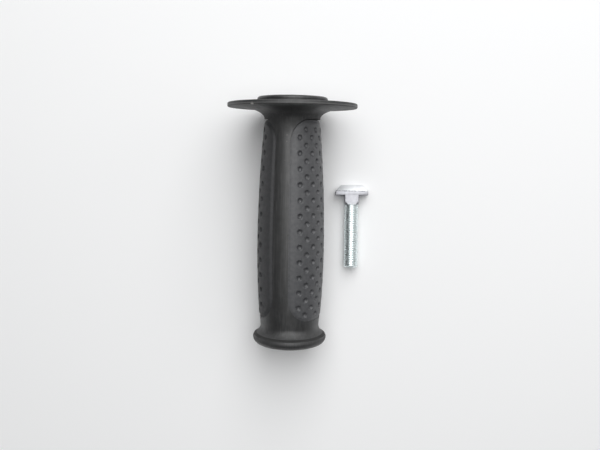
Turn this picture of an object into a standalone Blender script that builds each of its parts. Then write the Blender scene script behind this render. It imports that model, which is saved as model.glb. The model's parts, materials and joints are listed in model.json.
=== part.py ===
"""Side handle of a power tool, laid on a table with its clamp bolt unscrewed beside it.

The handle is turned about its own axis and then tipped so that its flange and its pommel both
touch the table. Stations are distances along that axis from the middle of the flange, positive
toward the pommel. Lengths are metres. The table is the plane z = 0.
"""

import math

import bmesh
import bpy
from mathutils import Matrix, Vector

OBJECT_NAME = "power_tool_side_handle"
MERGE_DISTANCE = 0.00001
SHARP_ANGLE = math.radians(32)
FLAT_ANGLE = math.radians(1)
ROUND_PROFILE = 0.5
FLOOR_HEIGHT = 0.0
CUT_PAST = 0.001

# Fits between neighbouring pieces
PAD_GAP = 0.0003
INSERT_GAP = 0.0003

# Flange and the boss that seats on the tool
FLANGE_RADIUS = 0.03355
FLANGE_THICKNESS = 0.0023
FLANGE_EDGE = 0.0007
FLANGE_FILLET = 0.0058
FLANGE_ROOT_RADIUS = 0.0285
BOSS_RADIUS = 0.0183
BOSS_HEIGHT = 0.0032
BOSS_EDGE = 0.0009
BOSS_GROOVE_WIDTH = 0.0006
BOSS_GROOVE_DEPTH = 0.0003
BOSS_GROOVE_FROM_FACE = 0.0014

# Barrel of the moulded body, between the neck and the waist
NECK_RADIUS = 0.01435
BELLY_STATION = 0.075
BODY_BELLY_RADIUS = 0.0173
WAIST_STATION = 0.1177
WAIST_RADIUS = 0.0152
WAIST_FILLET = 0.005

# Pommel
POMMEL_RADIUS = 0.0195
WAIST_TO_SHOULDER = 0.0024
SHOULDER_TO_END = 0.0048
POMMEL_SHOULDER_STATION = WAIST_STATION + WAIST_TO_SHOULDER
POMMEL_SHOULDER_RADIUS = 0.019
POMMEL_EDGE = 0.0036
POMMEL_DOME = 0.0003
END_STATION = POMMEL_SHOULDER_STATION + SHOULDER_TO_END
RING_GROOVE_WIDTH = 0.0006
RING_GROOVE_DEPTH = 0.0002

# Soft grip pads: two alike, half a turn apart
PAD_COUNT = 2
PAD_BELLY_RADIUS = 0.01755
PAD_TOP_STATION = FLANGE_THICKNESS / 2 + FLANGE_FILLET + PAD_GAP
PAD_TOP_RADIUS = 0.0143
PAD_END_TO_WAIST = 0.0076
PAD_END_STATION = WAIST_STATION - PAD_END_TO_WAIST
PAD_END_RADIUS = 0.01615
PAD_EDGE_ANGLE = math.radians(-2.0)
PAD_SPREAD = math.radians(150.5)
PAD_CORNER = 0.012
PAD_THICKNESS = 0.0018
PAD_ROUNDING = 0.00045

# Dimples in the pads
DIMPLE_RADIUS = 0.0012
DIMPLE_DEPTH = 0.00055
DIMPLE_COLUMNS = 9
DIMPLE_FIRST_ANGLE = math.radians(18.0)
DIMPLE_COLUMN_ANGLE = math.radians(12.75)
DIMPLE_BELOW_PAD_TOP = 0.00515
DIMPLE_ABOVE_PAD_END = 0.003
DIMPLE_PITCH = 0.00787
DIMPLE_FIRST_STATION = PAD_TOP_STATION + DIMPLE_BELOW_PAD_TOP

# Threaded insert and the clearance bore behind it
INSERT_ACROSS_FLATS = 0.013
INSERT_LENGTH = 0.0125
INSERT_BELOW_FACE = 0.0003
INSERT_CHAMFER = 0.0004
INSERT_BORE_RADIUS = 0.0034
INSERT_COUNTERSINK_RADIUS = 0.0042
CORE_BORE_RADIUS = 0.0043
CORE_BORE_END_STATION = 0.028

# Clamp bolt with a T head
BOLT_HEAD_LENGTH = 0.018
BOLT_HEAD_WIDTH = 0.008
BOLT_HEAD_SLAB = 0.0022
BOLT_HEAD_ROOF = 0.0034
BOLT_ROOF_LENGTH = 0.0121
BOLT_ROOF_WIDTH = 0.0042
BOLT_HEAD_EDGE = 0.00025
BOLT_NECK_WIDTH = 0.008
BOLT_NECK_LENGTH = 0.0051
BOLT_NECK_CHAMFER = 0.0012
BOLT_SHANK_RADIUS = 0.00395
BOLT_SHANK_LENGTH = 0.035
BOLT_END_CHAMFER = 0.0008
BOLT_JOIN_OVERLAP = 0.0015

# Where the two lie on the table
HANDLE_YAW = math.radians(0.89)
BOLT_LEAN = math.radians(0.8)
BOLT_BESIDE_HANDLE = 0.03264
BOLT_BELOW_FLANGE = 0.045

# Fineness of the faceted surfaces
BODY_STEPS = 44
SMALL_STEPS = 24
ARC_STEPS = 4
SMALL_EDGE_STEPS = 2
FLANGE_ROOT_STEPS = 5
POMMEL_EDGE_STEPS = 5
BARREL_STEPS = 6
PAD_CORNER_STEPS = 6
ROUNDING_SEGMENTS = 2
HEXAGON_SIDES = 6
DIMPLE_SIDES = 8
DIMPLE_RINGS = 6
PAD_BEND_STEP = math.radians(6.4)
PAD_FOLD_MARGIN = 2 * PAD_ROUNDING
ROWS_BETWEEN_FOLDS = 4


def clear_scene():
    for thing in list(bpy.data.objects):
        bpy.data.objects.remove(thing)


def make_collection(name):
    collection = bpy.data.collections.new(name)
    bpy.context.scene.collection.children.link(collection)
    return collection


def make_material(name, colour, roughness, metallic):
    material = bpy.data.materials.new(name)
    material.use_nodes = True
    shader = material.node_tree.nodes["Principled BSDF"]
    shader.inputs["Base Color"].default_value = (*colour, 1.0)
    shader.inputs["Roughness"].default_value = roughness
    shader.inputs["Metallic"].default_value = metallic
    return material


def moulded_nylon():
    return make_material("moulded_nylon", (0.02, 0.0205, 0.021), 0.45, 0.0)


def soft_rubber():
    return make_material("soft_rubber", (0.06, 0.062, 0.065), 0.6, 0.0)


def plain_steel():
    return make_material("plain_steel", (0.45, 0.44, 0.42), 0.4, 1.0)


def zinc_plate():
    return make_material("zinc_plate", (0.64, 0.7, 0.72), 0.3, 1.0)


def add_object(name, mesh, collection, material=None):
    thing = bpy.data.objects.new(name, mesh)
    collection.objects.link(thing)
    if material:
        mesh.materials.append(material)
    return thing


def mesh_from(bm, name):
    """Turn a finished bmesh into a mesh."""
    bmesh.ops.recalc_face_normals(bm, faces=bm.faces)
    mesh = bpy.data.meshes.new(name)
    bm.to_mesh(mesh)
    bm.free()
    return mesh


def as_guide(thing):
    """Mark an object as a cutter, which is not a part of the model."""
    thing.hide_render = True
    thing.display_type = "WIRE"
    return thing


def evaluated_mesh(thing):
    graph = bpy.context.evaluated_depsgraph_get()
    return bpy.data.meshes.new_from_object(thing.evaluated_get(graph))


def settle(thing):
    """Apply an object's modifiers and shade it smooth between its sharp edges."""
    mesh = evaluated_mesh(thing)
    mesh.name = thing.name
    thing.modifiers.clear()
    thing.data = mesh
    mesh.shade_smooth()
    mesh.set_sharp_from_angle(angle=SHARP_ANGLE)


def add_boolean(thing, operation, other):
    modifier = thing.modifiers.new(other.name, "BOOLEAN")
    modifier.operation = operation
    modifier.solver = "EXACT"
    modifier.object = other


def arc(centre, radius, start, end, steps=ARC_STEPS):
    """Points on an arc in the (radius, station) plane, with its angles from the radial direction."""
    turns = [start + (end - start) * step / steps for step in range(steps + 1)]
    return [(centre[0] + radius * math.cos(turn), centre[1] + radius * math.sin(turn)) for turn in turns]


def fillet_arc(before, corner, after, radius, steps=ARC_STEPS):
    """Points that round the corner between two straight runs of an outline."""
    corner = Vector(corner)
    toward_before = (Vector(before) - corner).normalized()
    toward_after = (Vector(after) - corner).normalized()
    half_angle = toward_before.angle(toward_after) / 2
    centre = corner + (toward_before + toward_after).normalized() * radius / math.sin(half_angle)
    first = corner + toward_before * radius / math.tan(half_angle) - centre
    last = corner + toward_after * radius / math.tan(half_angle) - centre
    points = []
    for step in range(steps + 1):
        share = step / steps
        spoke = first.slerp(last, share) if 0 < share < 1 else (first if share == 0 else last)
        points.append(tuple(centre + spoke.normalized() * radius))
    return points


def bulge(station, peak_station, peak_radius, end_station, end_radius):
    """Radius of a long shallow bulge that peaks at one station and passes through an end point."""
    share = (station - peak_station) / (end_station - peak_station)
    return peak_radius - (peak_radius - end_radius) * share**2


def neck_station():
    return FLANGE_THICKNESS / 2 + FLANGE_FILLET


def body_radius(station):
    """Radius of the moulded barrel, beside and under the pads."""
    if station < BELLY_STATION:
        return bulge(station, BELLY_STATION, BODY_BELLY_RADIUS, neck_station(), NECK_RADIUS)
    return bulge(station, BELLY_STATION, BODY_BELLY_RADIUS, WAIST_STATION, WAIST_RADIUS)


def pad_radius(station):
    """Radius of the pads' outer surface."""
    if station < BELLY_STATION:
        return bulge(station, BELLY_STATION, PAD_BELLY_RADIUS, PAD_TOP_STATION, PAD_TOP_RADIUS)
    return bulge(station, BELLY_STATION, PAD_BELLY_RADIUS, PAD_END_STATION, PAD_END_RADIUS)


def boss_face_station():
    return -FLANGE_THICKNESS / 2 - BOSS_HEIGHT


def groove(radius, middle, width, depth):
    """A shallow groove with sloping sides, round a cylinder."""
    return [
        (radius, middle - width / 2),
        (radius - depth, middle - width / 4),
        (radius - depth, middle + width / 4),
        (radius, middle + width / 2),
    ]


def boss_outline():
    face = boss_face_station()
    points = [(0.0, face)]
    edge_centre = (BOSS_RADIUS - BOSS_EDGE, face + BOSS_EDGE)
    points += arc(edge_centre, BOSS_EDGE, -math.pi / 2, 0, SMALL_EDGE_STEPS)
    points += groove(BOSS_RADIUS, face + BOSS_GROOVE_FROM_FACE, BOSS_GROOVE_WIDTH, BOSS_GROOVE_DEPTH)
    return points + [(BOSS_RADIUS, -FLANGE_THICKNESS / 2)]


def flange_edge_station():
    """Station of the middle of the rounding on the flange's edge, on the side of the grip."""
    return FLANGE_THICKNESS / 2 - FLANGE_EDGE


def flange_outline():
    """Flat rim with rounded edges, then a hollow curve down to the neck, wider than it is deep."""
    middle_radius = FLANGE_RADIUS - FLANGE_EDGE
    edges = ((-flange_edge_station(), -math.pi / 2, 0.0), (flange_edge_station(), 0.0, math.pi / 2))
    rim = []
    for station, start, end in edges:
        rim += arc((middle_radius, station), FLANGE_EDGE, start, end, SMALL_EDGE_STEPS)
    reach = FLANGE_ROOT_RADIUS - NECK_RADIUS
    turns = [math.pi / 2 * step / FLANGE_ROOT_STEPS for step in range(FLANGE_ROOT_STEPS + 1)]
    root = [
        (NECK_RADIUS + reach * (1 - math.sin(turn)), neck_station() - FLANGE_FILLET * math.cos(turn))
        for turn in turns
    ]
    return rim + root


def barrel_outline(last_station):
    first = neck_station()
    upper = [first + (BELLY_STATION - first) * step / BARREL_STEPS for step in range(1, BARREL_STEPS)]
    lower_run = last_station - BELLY_STATION
    lower = [BELLY_STATION + lower_run * step / BARREL_STEPS for step in range(BARREL_STEPS)]
    return [(body_radius(station), station) for station in upper + lower]


def pommel_outline(waist):
    shoulder = (POMMEL_SHOULDER_RADIUS, POMMEL_SHOULDER_STATION)
    ring_top = POMMEL_SHOULDER_STATION - RING_GROOVE_WIDTH
    flare_slope = (POMMEL_SHOULDER_RADIUS - WAIST_RADIUS) / (POMMEL_SHOULDER_STATION - WAIST_STATION)
    ring_radius = POMMEL_SHOULDER_RADIUS - flare_slope * RING_GROOVE_WIDTH
    edge_centre = (POMMEL_RADIUS - POMMEL_EDGE, END_STATION - POMMEL_EDGE)
    points = waist + [
        (ring_radius, ring_top),
        (ring_radius - RING_GROOVE_DEPTH, ring_top + RING_GROOVE_WIDTH / 2),
        shoulder,
    ]
    points += arc(edge_centre, POMMEL_EDGE, 0, math.pi / 2, POMMEL_EDGE_STEPS)
    return points + [(0.0, END_STATION + POMMEL_DOME)]


def body_outline():
    """Outline of the whole moulding, from the boss face down the outer side to the pommel's end."""
    corner = (WAIST_RADIUS, WAIST_STATION)
    slope = body_radius(WAIST_STATION - WAIST_FILLET) - WAIST_RADIUS
    before = (WAIST_RADIUS + slope, WAIST_STATION - WAIST_FILLET)
    after = (POMMEL_SHOULDER_RADIUS, POMMEL_SHOULDER_STATION)
    waist = fillet_arc(before, corner, after, WAIST_FILLET)
    return boss_outline() + flange_outline() + barrel_outline(waist[0][1]) + pommel_outline(waist)


def turned(name, outline, steps, collection, material=None):
    """Turn an outline of (radius, station) points about the local Z axis, stations running down."""
    bm = bmesh.new()
    points = [bm.verts.new((radius, 0.0, -station)) for radius, station in outline]
    for first, second in zip(points, points[1:]):
        bm.edges.new((first, second))
    mesh = bpy.data.meshes.new(name)
    bm.to_mesh(mesh)
    bm.free()
    thing = add_object(name, mesh, collection, material)
    screw = thing.modifiers.new("turn", "SCREW")
    screw.angle = 2 * math.pi
    screw.steps = steps
    screw.render_steps = steps
    screw.use_merge_vertices = True
    screw.merge_threshold = MERGE_DISTANCE
    screw.use_smooth_shade = True
    return thing


def pad_width():
    return PAD_SPREAD * PAD_BELLY_RADIUS


def pad_flat_outline(margin):
    """Rounded outline of a pad laid flat, grown by a margin; x is arc length, y is the station."""
    low = (-margin, PAD_TOP_STATION - margin)
    high = (pad_width() + margin, PAD_END_STATION + margin)
    radius = PAD_CORNER + margin
    centres = [
        (high[0] - radius, high[1] - radius),
        (low[0] + radius, high[1] - radius),
        (low[0] + radius, low[1] + radius),
        (high[0] - radius, low[1] + radius),
    ]
    points = []
    for corner, centre in enumerate(centres):
        start = corner * math.pi / 2
        points += arc(centre, radius, start, start + math.pi / 2, PAD_CORNER_STEPS)
    return points


def flat_plate(name, outline, bottom, top, collection):
    """Extrude a flat outline between two heights, from a filled curve made into a mesh."""
    curve = bpy.data.curves.new(name, "CURVE")
    curve.dimensions = "2D"
    curve.fill_mode = "BOTH"
    curve.extrude = (top - bottom) / 2
    spline = curve.splines.new("POLY")
    spline.points.add(len(outline) - 1)
    for point, (x, y) in zip(spline.points, outline):
        point.co = (x, y, 0.0, 1.0)
    spline.use_cyclic_u = True
    drawn = bpy.data.objects.new(name + "_curve", curve)
    collection.objects.link(drawn)
    mesh = evaluated_mesh(drawn)
    bpy.data.objects.remove(drawn)
    bm = bmesh.new()
    bm.from_mesh(mesh)
    bmesh.ops.remove_doubles(bm, verts=bm.verts, dist=MERGE_DISTANCE)
    bmesh.ops.translate(bm, verts=bm.verts, vec=(0.0, 0.0, (top + bottom) / 2))
    bmesh.ops.dissolve_limit(bm, angle_limit=FLAT_ANGLE, verts=bm.verts, edges=bm.edges)
    return bm


def round_edges(bm, edges, width):
    bmesh.ops.bevel(
        bm,
        geom=edges,
        offset=width,
        offset_type="OFFSET",
        segments=ROUNDING_SEGMENTS,
        profile=ROUND_PROFILE,
        affect="EDGES",
        clamp_overlap=True,
    )


def round_outer_edge(bm, top):
    """Round the rim of a flat pad where its side meets its outer face."""
    rim = [edge for edge in bm.edges if all(abs(vert.co.z - top) < MERGE_DISTANCE for vert in edge.verts)]
    round_edges(bm, rim, PAD_ROUNDING)


def column_positions():
    """Flat x positions of the columns of dimples."""
    angles = [DIMPLE_FIRST_ANGLE + column * DIMPLE_COLUMN_ANGLE for column in range(DIMPLE_COLUMNS)]
    return [angle * PAD_BELLY_RADIUS for angle in angles]


def dimple_places():
    """Centres of the dimples on the flat pad: every second column starts half a pitch lower."""
    last = PAD_END_STATION - DIMPLE_ABOVE_PAD_END
    places = []
    for column, x in enumerate(column_positions()):
        first = DIMPLE_FIRST_STATION + (DIMPLE_PITCH / 2 if column % 2 == 0 else 0.0)
        rows = int((last - first) / DIMPLE_PITCH) + 1
        places += [(x, first + row * DIMPLE_PITCH) for row in range(rows)]
    return places


def dimple_cutter(collection):
    """One mesh of low spheres that sink the dimples into the flat pad."""
    ball_radius = (DIMPLE_RADIUS**2 + DIMPLE_DEPTH**2) / (2 * DIMPLE_DEPTH)
    bm = bmesh.new()
    for x, y in dimple_places():
        place = Matrix.Translation((x, y, ball_radius - DIMPLE_DEPTH))
        bmesh.ops.create_uvsphere(
            bm, u_segments=DIMPLE_SIDES, v_segments=DIMPLE_RINGS, radius=ball_radius, matrix=place
        )
    return as_guide(add_object("dimple_cutter", mesh_from(bm, "dimple_cutter"), collection))


def bend_lines():
    """Flat x positions to fold a pad along: midway between dimple columns, and in the margins."""
    columns = column_positions()
    lines = [(first + second) / 2 for first, second in zip(columns, columns[1:])]
    half_column = DIMPLE_COLUMN_ANGLE * PAD_BELLY_RADIUS / 2
    step = PAD_BEND_STEP * PAD_BELLY_RADIUS
    x = columns[0] - half_column
    while x > PAD_FOLD_MARGIN:
        lines.append(x)
        x -= step
    x = columns[-1] + half_column
    while x < pad_width() - PAD_FOLD_MARGIN:
        lines.append(x)
        x += step
    return lines


def station_lines():
    """Stations to fold a pad along, in gaps between rows of dimples."""
    row_gap = DIMPLE_PITCH / 2
    first = DIMPLE_FIRST_STATION + row_gap / 2
    count = int((PAD_END_STATION - first) / row_gap)
    return [first + row * row_gap for row in range(0, count, ROWS_BETWEEN_FOLDS)]


def cut_folds(bm, x_lines, y_lines):
    """Cut a flat mesh along straight lines, so that it can follow the curved barrel."""
    for x in x_lines:
        geometry = bm.verts[:] + bm.edges[:] + bm.faces[:]
        bmesh.ops.bisect_plane(bm, geom=geometry, dist=MERGE_DISTANCE, plane_co=(x, 0, 0), plane_no=(1, 0, 0))
    for y in y_lines:
        geometry = bm.verts[:] + bm.edges[:] + bm.faces[:]
        bmesh.ops.bisect_plane(bm, geom=geometry, dist=MERGE_DISTANCE, plane_co=(0, y, 0), plane_no=(0, 1, 0))
    bmesh.ops.triangulate(bm, faces=bm.faces, quad_method="BEAUTY", ngon_method="BEAUTY")


def around_axis(angle, radius, station):
    """A point on the handle; the angle is measured from the top of the lying handle, to its right."""
    return Vector((radius * math.sin(angle), -radius * math.cos(angle), -station))


def wrap(bm):
    """Roll a flat mesh round the handle's axis, its height counted from the pads' outer surface."""
    for vert in bm.verts:
        angle = PAD_EDGE_ANGLE + vert.co.x / PAD_BELLY_RADIUS
        vert.co = around_axis(angle, pad_radius(vert.co.y) + vert.co.z, vert.co.y)


def make_pad_mesh(parts, cutters):
    bm = flat_plate("pad_blank", pad_flat_outline(0.0), -PAD_THICKNESS, 0.0, parts)
    round_outer_edge(bm, 0.0)
    blank = add_object("pad_blank", mesh_from(bm, "pad_blank"), parts)
    add_boolean(blank, "DIFFERENCE", dimple_cutter(cutters))
    bm = bmesh.new()
    bm.from_mesh(evaluated_mesh(blank))
    bpy.data.objects.remove(blank)
    bmesh.ops.remove_doubles(bm, verts=bm.verts, dist=MERGE_DISTANCE)
    cut_folds(bm, bend_lines(), station_lines())
    wrap(bm)
    return mesh_from(bm, "grip_pad")


def make_pads(parts, cutters, rest):
    """Two pads from one mesh, the second turned half a turn about the handle's axis."""
    mesh = make_pad_mesh(parts, cutters)
    mesh.shade_smooth()
    mesh.set_sharp_from_angle(angle=SHARP_ANGLE)
    mesh.materials.append(soft_rubber())
    for number, name in enumerate(("grip_pad_right", "grip_pad_left")):
        pad = add_object(name, mesh, parts)
        pad.parent = rest
        pad.rotation_euler.z = number * 2 * math.pi / PAD_COUNT


def make_pad_pocket(cutters, rest):
    """Cutters for the recesses that hold the pads, larger than a pad by the gap all round."""
    floor = -PAD_THICKNESS - PAD_GAP
    bm = flat_plate("pad_pocket", pad_flat_outline(PAD_GAP), floor, CUT_PAST, cutters)
    cut_folds(bm, bend_lines(), station_lines())
    wrap(bm)
    mesh = mesh_from(bm, "pad_pocket")
    pockets = []
    for number in range(PAD_COUNT):
        pocket = as_guide(add_object(f"pad_pocket_{number}", mesh, cutters))
        pocket.parent = rest
        pocket.rotation_euler.z = number * 2 * math.pi / PAD_COUNT
        pockets.append(pocket)
    return pockets


def prism(name, sides, radius, top_station, bottom_station, collection):
    """A straight prism on the handle's axis; with many sides it stands for a cylinder."""
    bm = bmesh.new()
    middle = Matrix.Translation((0.0, 0.0, -(top_station + bottom_station) / 2))
    bmesh.ops.create_cone(
        bm,
        cap_ends=True,
        segments=sides,
        radius1=radius,
        radius2=radius,
        depth=bottom_station - top_station,
        matrix=middle,
    )
    return add_object(name, mesh_from(bm, name), collection)


def hexagon_radius(across_flats):
    return across_flats / 2 / math.cos(math.pi / HEXAGON_SIDES)


def insert_top_station():
    return boss_face_station() + INSERT_BELOW_FACE


def insert_end_station():
    return insert_top_station() + INSERT_LENGTH


def make_body(parts, cutters, rest):
    """The one-piece moulding: boss, flange, barrel and pommel, with its recesses and its bore."""
    body = turned("handle_body", body_outline(), BODY_STEPS, parts, moulded_nylon())
    body.parent = rest
    past_face = boss_face_station() - CUT_PAST
    pocket_end = insert_end_station() + INSERT_GAP
    pocket_radius = hexagon_radius(INSERT_ACROSS_FLATS + 2 * INSERT_GAP)
    hex_pocket = prism("insert_pocket", HEXAGON_SIDES, pocket_radius, past_face, pocket_end, cutters)
    core_bore = prism("core_bore", SMALL_STEPS, CORE_BORE_RADIUS, past_face, CORE_BORE_END_STATION, cutters)
    for cutter in (hex_pocket, core_bore):
        as_guide(cutter).parent = rest
    for cutter in make_pad_pocket(cutters, rest) + [hex_pocket, core_bore]:
        add_boolean(body, "DIFFERENCE", cutter)
    return body


def bevel_edges(thing, width, segments):
    bevel = thing.modifiers.new("edges", "BEVEL")
    bevel.width = width
    bevel.segments = segments
    bevel.limit_method = "ANGLE"
    bevel.angle_limit = SHARP_ANGLE


def insert_bore_outline():
    """Outline of the threaded bore at its minor diameter, with a countersunk mouth."""
    top = insert_top_station()
    past_end = insert_end_station() + CUT_PAST
    sink = INSERT_COUNTERSINK_RADIUS - INSERT_BORE_RADIUS
    return [
        (0.0, top - CUT_PAST),
        (INSERT_COUNTERSINK_RADIUS + CUT_PAST, top - CUT_PAST),
        (INSERT_BORE_RADIUS, top + sink),
        (INSERT_BORE_RADIUS, past_end),
        (0.0, past_end),
    ]


def make_insert(parts, cutters, rest):
    """Hexagonal steel insert held in the moulding, into which the bolt screws."""
    radius = hexagon_radius(INSERT_ACROSS_FLATS)
    top, end = insert_top_station(), insert_end_station()
    insert = prism("threaded_insert", HEXAGON_SIDES, radius, top, end, parts)
    insert.data.materials.append(plain_steel())
    insert.parent = rest
    bevel_edges(insert, INSERT_CHAMFER, 1)
    bore = as_guide(turned("insert_bore", insert_bore_outline(), SMALL_STEPS, cutters))
    bore.parent = rest
    add_boolean(insert, "DIFFERENCE", bore)
    return insert


def box(name, size, middle, collection):
    bm = bmesh.new()
    place = Matrix.Translation(middle) @ Matrix.Diagonal((*size, 1.0))
    bmesh.ops.create_cube(bm, size=1.0, matrix=place)
    return add_object(name, mesh_from(bm, name), collection)


def bolt_neck(cutters):
    """Square neck under the head, its corners chamfered at the shank's end."""
    inside_head = BOLT_HEAD_SLAB / 2
    size = (BOLT_NECK_WIDTH, BOLT_NECK_WIDTH, BOLT_NECK_LENGTH + inside_head)
    neck = box("bolt_neck", size, (0.0, 0.0, (inside_head - BOLT_NECK_LENGTH) / 2), cutters)
    bm = bmesh.new()
    bm.from_mesh(neck.data)
    middle = -BOLT_NECK_LENGTH / 2
    low = [edge for edge in bm.edges if all(vert.co.z < middle for vert in edge.verts)]
    round_edges(bm, low, BOLT_NECK_CHAMFER)
    bm.to_mesh(neck.data)
    bm.free()
    return neck


def bolt_shank(cutters):
    start = BOLT_NECK_LENGTH - BOLT_JOIN_OVERLAP
    end = BOLT_NECK_LENGTH + BOLT_SHANK_LENGTH
    outline = [
        (0.0, start),
        (BOLT_SHANK_RADIUS, start),
        (BOLT_SHANK_RADIUS, end - BOLT_END_CHAMFER),
        (BOLT_SHANK_RADIUS - BOLT_END_CHAMFER, end),
        (0.0, end),
    ]
    return turned("bolt_shank", outline, SMALL_STEPS, cutters)


def bolt_head(parts):
    """The T head: a slab whose far face rises into a roof that slopes in on all four sides."""
    size = (BOLT_HEAD_LENGTH, BOLT_HEAD_WIDTH, BOLT_HEAD_SLAB)
    head = box("t_bolt", size, (0.0, 0.0, BOLT_HEAD_SLAB / 2), parts)
    bm = bmesh.new()
    bm.from_mesh(head.data)
    far_face = max(bm.faces, key=lambda face: face.calc_center_median().z)
    risen = bmesh.ops.extrude_discrete_faces(bm, faces=[far_face])["faces"]
    for vert in risen[0].verts:
        vert.co.x *= BOLT_ROOF_LENGTH / BOLT_HEAD_LENGTH
        vert.co.y *= BOLT_ROOF_WIDTH / BOLT_HEAD_WIDTH
        vert.co.z += BOLT_HEAD_ROOF
    bm.to_mesh(head.data)
    bm.free()
    return head


def make_bolt(parts, cutters, rest):
    """T-headed clamp bolt: a roofed head, a square neck and an M8 shank, joined in one."""
    bolt = bolt_head(parts)
    bolt.data.materials.append(zinc_plate())
    bevel_edges(bolt, BOLT_HEAD_EDGE, ROUNDING_SEGMENTS)
    bolt.parent = rest
    for piece in (bolt_neck(cutters), bolt_shank(cutters)):
        as_guide(piece).parent = rest
        add_boolean(bolt, "UNION", piece)
    return bolt


def resting_tilt():
    """Tilt of the axis when the flange's rim and the pommel's rim both touch the table."""
    drop = (FLANGE_RADIUS - FLANGE_EDGE) - (POMMEL_RADIUS - POMMEL_EDGE)
    span = END_STATION - POMMEL_EDGE - flange_edge_station()
    reach = math.hypot(drop, span)
    return math.acos((POMMEL_EDGE - FLANGE_EDGE) / reach) - math.atan2(span, drop)


def add_rest(name, parts):
    rest = bpy.data.objects.new(name, None)
    parts.objects.link(rest)
    return rest


def lowest_and_highest(things):
    corners = []
    for thing in things:
        corners += [thing.matrix_world @ vert.co for vert in thing.data.vertices]
    low = Vector(min(corner[axis] for corner in corners) for axis in range(3))
    high = Vector(max(corner[axis] for corner in corners) for axis in range(3))
    return low, high


def lay_on_table(rest, things):
    """Lower an empty until the lowest of its pieces touches the table."""
    bpy.context.view_layer.update()
    low, _ = lowest_and_highest(things)
    rest.location.z += FLOOR_HEIGHT - low.z
    bpy.context.view_layer.update()


def centre_on_origin(rests, things):
    low, high = lowest_and_highest(things)
    middle = (low + high) / 2
    for rest in rests:
        rest.location.x -= middle.x
        rest.location.y -= middle.y
    bpy.context.view_layer.update()


def main():
    clear_scene()
    parts = make_collection(OBJECT_NAME)
    cutters = make_collection("cutters")
    handle_rest = add_rest("handle_rest", parts)
    bolt_rest = add_rest("bolt_rest", parts)
    body = make_body(parts, cutters, handle_rest)
    insert = make_insert(parts, cutters, handle_rest)
    make_pads(parts, cutters, handle_rest)
    bolt = make_bolt(parts, cutters, bolt_rest)
    for piece in (body, insert, bolt):
        settle(piece)
    handle_rest.rotation_euler = (resting_tilt() - math.pi / 2, 0.0, -HANDLE_YAW)
    bolt_rest.rotation_euler = (-math.pi / 2, 0.0, -BOLT_LEAN)
    bolt_rest.location = (BOLT_BESIDE_HANDLE, -BOLT_BELOW_FLANGE, 0.0)
    solids = [thing for thing in parts.objects if thing.type == "MESH"]
    lay_on_table(handle_rest, [thing for thing in solids if thing.parent == handle_rest])
    lay_on_table(bolt_rest, [bolt])
    centre_on_origin((handle_rest, bolt_rest), solids)


main()
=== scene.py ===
"""Looks of a power tool's side handle and its clamp bolt, lying on a pale table seen from above.

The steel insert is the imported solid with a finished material. The moulded body, its two dimpled pads
and the threaded bolt are built here, finer than the solids, in the same places. Stations are distances
along the handle's axis from the middle of its flange, positive toward the pommel. Angles round the axis
are measured from the top of the lying handle, to its right. Lengths are metres, colours are linear.
"""

import json
import math

import bmesh
import bpy
from mathutils import Matrix, Vector


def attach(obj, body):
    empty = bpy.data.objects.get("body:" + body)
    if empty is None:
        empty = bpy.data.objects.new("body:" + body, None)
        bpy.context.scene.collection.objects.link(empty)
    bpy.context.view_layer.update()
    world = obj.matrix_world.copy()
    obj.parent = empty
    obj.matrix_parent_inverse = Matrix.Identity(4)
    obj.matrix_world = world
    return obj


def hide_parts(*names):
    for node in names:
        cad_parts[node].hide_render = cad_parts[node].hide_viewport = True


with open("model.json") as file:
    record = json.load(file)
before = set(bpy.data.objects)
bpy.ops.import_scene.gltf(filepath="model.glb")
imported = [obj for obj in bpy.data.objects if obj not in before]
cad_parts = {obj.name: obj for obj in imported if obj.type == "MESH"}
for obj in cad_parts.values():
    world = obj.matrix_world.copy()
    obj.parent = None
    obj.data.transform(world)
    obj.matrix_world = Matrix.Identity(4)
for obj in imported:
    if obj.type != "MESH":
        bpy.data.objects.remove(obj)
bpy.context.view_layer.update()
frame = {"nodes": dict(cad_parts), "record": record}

MERGE_DISTANCE = 0.000002
CUT_MERGE_DISTANCE = 0.00000005

# Camera, straight above the table
CAMERA_PLACE = (-0.00022, -0.00173, 0.380)
CAMERA_LENS = 40.3
SENSOR_WIDTH = 36.0

# Lights: direction from the middle of the table, size across and along, and radiance
LIGHT_DISTANCE = 0.9
OVERHEAD_DIRECTION = (0.095, 0.42, 0.91)
OVERHEAD_SIZE = (0.95, 1.7)
OVERHEAD_RADIANCE = 2.8
SIDE_DIRECTION = (0.90, 0.10, 0.45)
SIDE_SIZE = (0.7, 0.7)
SIDE_RADIANCE = 0.6
BACK_DIRECTION = (0.12, 0.86, 0.5)
BACK_SIZE = (0.36, 0.36)
BACK_RADIANCE = 1.0
SURROUND_STRENGTH = 0.1
TABLE_HALF_WIDTH = 1.5
TABLE_COLOUR = (0.93, 0.935, 0.94)

# Moulding: flange, boss, barrel and pommel
SEAT_POINT_RADIUS = 0.0125
FLANGE_RADIUS = 0.03345
FLANGE_THICKNESS = 0.0023
FLANGE_EDGE = 0.0006
RIM_RIDGE_STATION = 0.0003
RIM_RIDGE_HALF_WIDTH = 0.00012
RIM_RIDGE_HEIGHT = 0.00008
FLANGE_FILLET = 0.0058
FLANGE_ROOT_RADIUS = 0.0285
BOSS_RADIUS = 0.01815
BOSS_HEIGHT = 0.0032
BOSS_CHAMFER = 0.0007
BOSS_CHAMFER_ROUNDING = 0.0003
BOSS_GROOVES = (  # distance from the face, width and depth of each
    (0.00175, 0.0006, 0.0003),
    (0.0029, 0.0004, 0.00025),
)
NECK_RADIUS = 0.01435
NECK_BLEND = 0.00025
BELLY_STATION = 0.075
BODY_BELLY_RADIUS = 0.0173
WAIST_STATION = 0.1177
WAIST_RADIUS = 0.0152
WAIST_FILLET = 0.005
POMMEL_SHOULDER_RADIUS = 0.019
POMMEL_SHOULDER_STATION = 0.1201
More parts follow.
